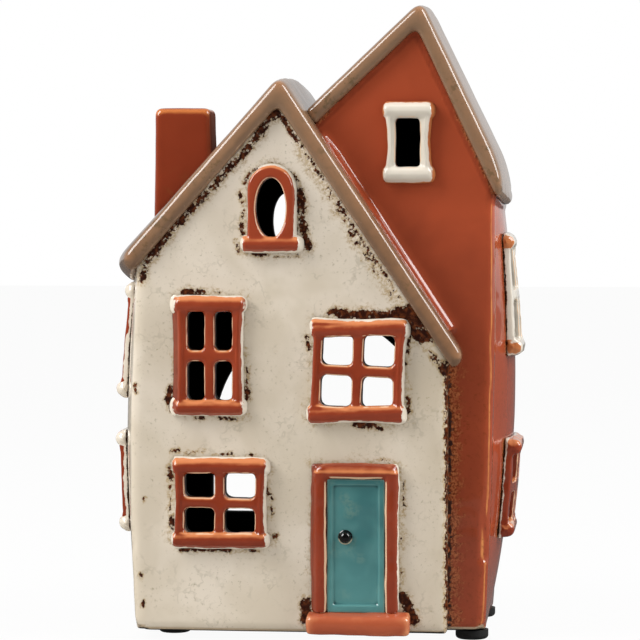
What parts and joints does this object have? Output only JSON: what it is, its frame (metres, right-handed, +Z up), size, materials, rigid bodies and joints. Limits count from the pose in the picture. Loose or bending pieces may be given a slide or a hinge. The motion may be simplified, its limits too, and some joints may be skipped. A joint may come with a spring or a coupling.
{
  "type": "tealight house",
  "caption": "Glazed stoneware house with two steep gables, pierced windows, a chimney and a back arch, standing on rubber feet round a tealight.",
  "frame": {"origin": "on the table, under the middle of the whole house", "axes": "+Z up, -Y out of the door, +X to the right as one faces the door"},
  "size_m": [0.1509, 0.097, 0.2319],
  "materials": {
    "cream_glaze": "gloss",
    "rust_glaze": "gloss",
    "white_glaze": "gloss",
    "roof_glaze": "gloss",
    "teal_glaze": "gloss",
    "black_glaze": "gloss",
    "black_rubber": "matte",
    "cup_aluminium": "bright, deep drawn",
    "candle_wax": "waxy",
    "cotton_wick": "waxed cotton",
    "sustainer_steel": "tinned"
  },
  "bodies": {
    "house": {"base_slab": "cream_glaze", "front_wall": "cream_glaze", "left_wall": "cream_glaze", "rear_wall_low": "cream_glaze", "tall_front_wall": "rust_glaze", "right_wall": "rust_glaze", "rear_wall_tall": "rust_glaze", "chimney": "rust_glaze", "attic_window_frame": "rust_glaze", "mid_left_window_frame": "rust_glaze", "mid_right_window_frame": "rust_glaze", "low_left_window_frame": "rust_glaze", "left_upper_window_frame": "rust_glaze", "left_lower_window_frame": "rust_glaze", "right_lower_window_frame": "rust_glaze", "door_frame": "rust_glaze", "doorstep": "rust_glaze", "tall_gable_window_frame": "white_glaze", "right_upper_window_frame": "white_glaze", "low_roof_left": "roof_glaze", "low_roof_right": "roof_glaze", "tall_roof_left": "roof_glaze", "tall_roof_right": "roof_glaze", "door_leaf": "teal_glaze", "door_knob": "black_glaze", "foot_pads": "black_rubber"},
    "tealight": {"tealight_cup": "cup_aluminium", "tealight_wax": "candle_wax", "tealight_wick": "cotton_wick", "wick_sustainer": "sustainer_steel"}
  },
  "joints": [
    {"name": "tealight_lift", "type": "slide", "parent": "house", "child": "tealight", "axis": [0, 0.7071, 0.7071], "range_m": [0, 0.135]}
  ]
}
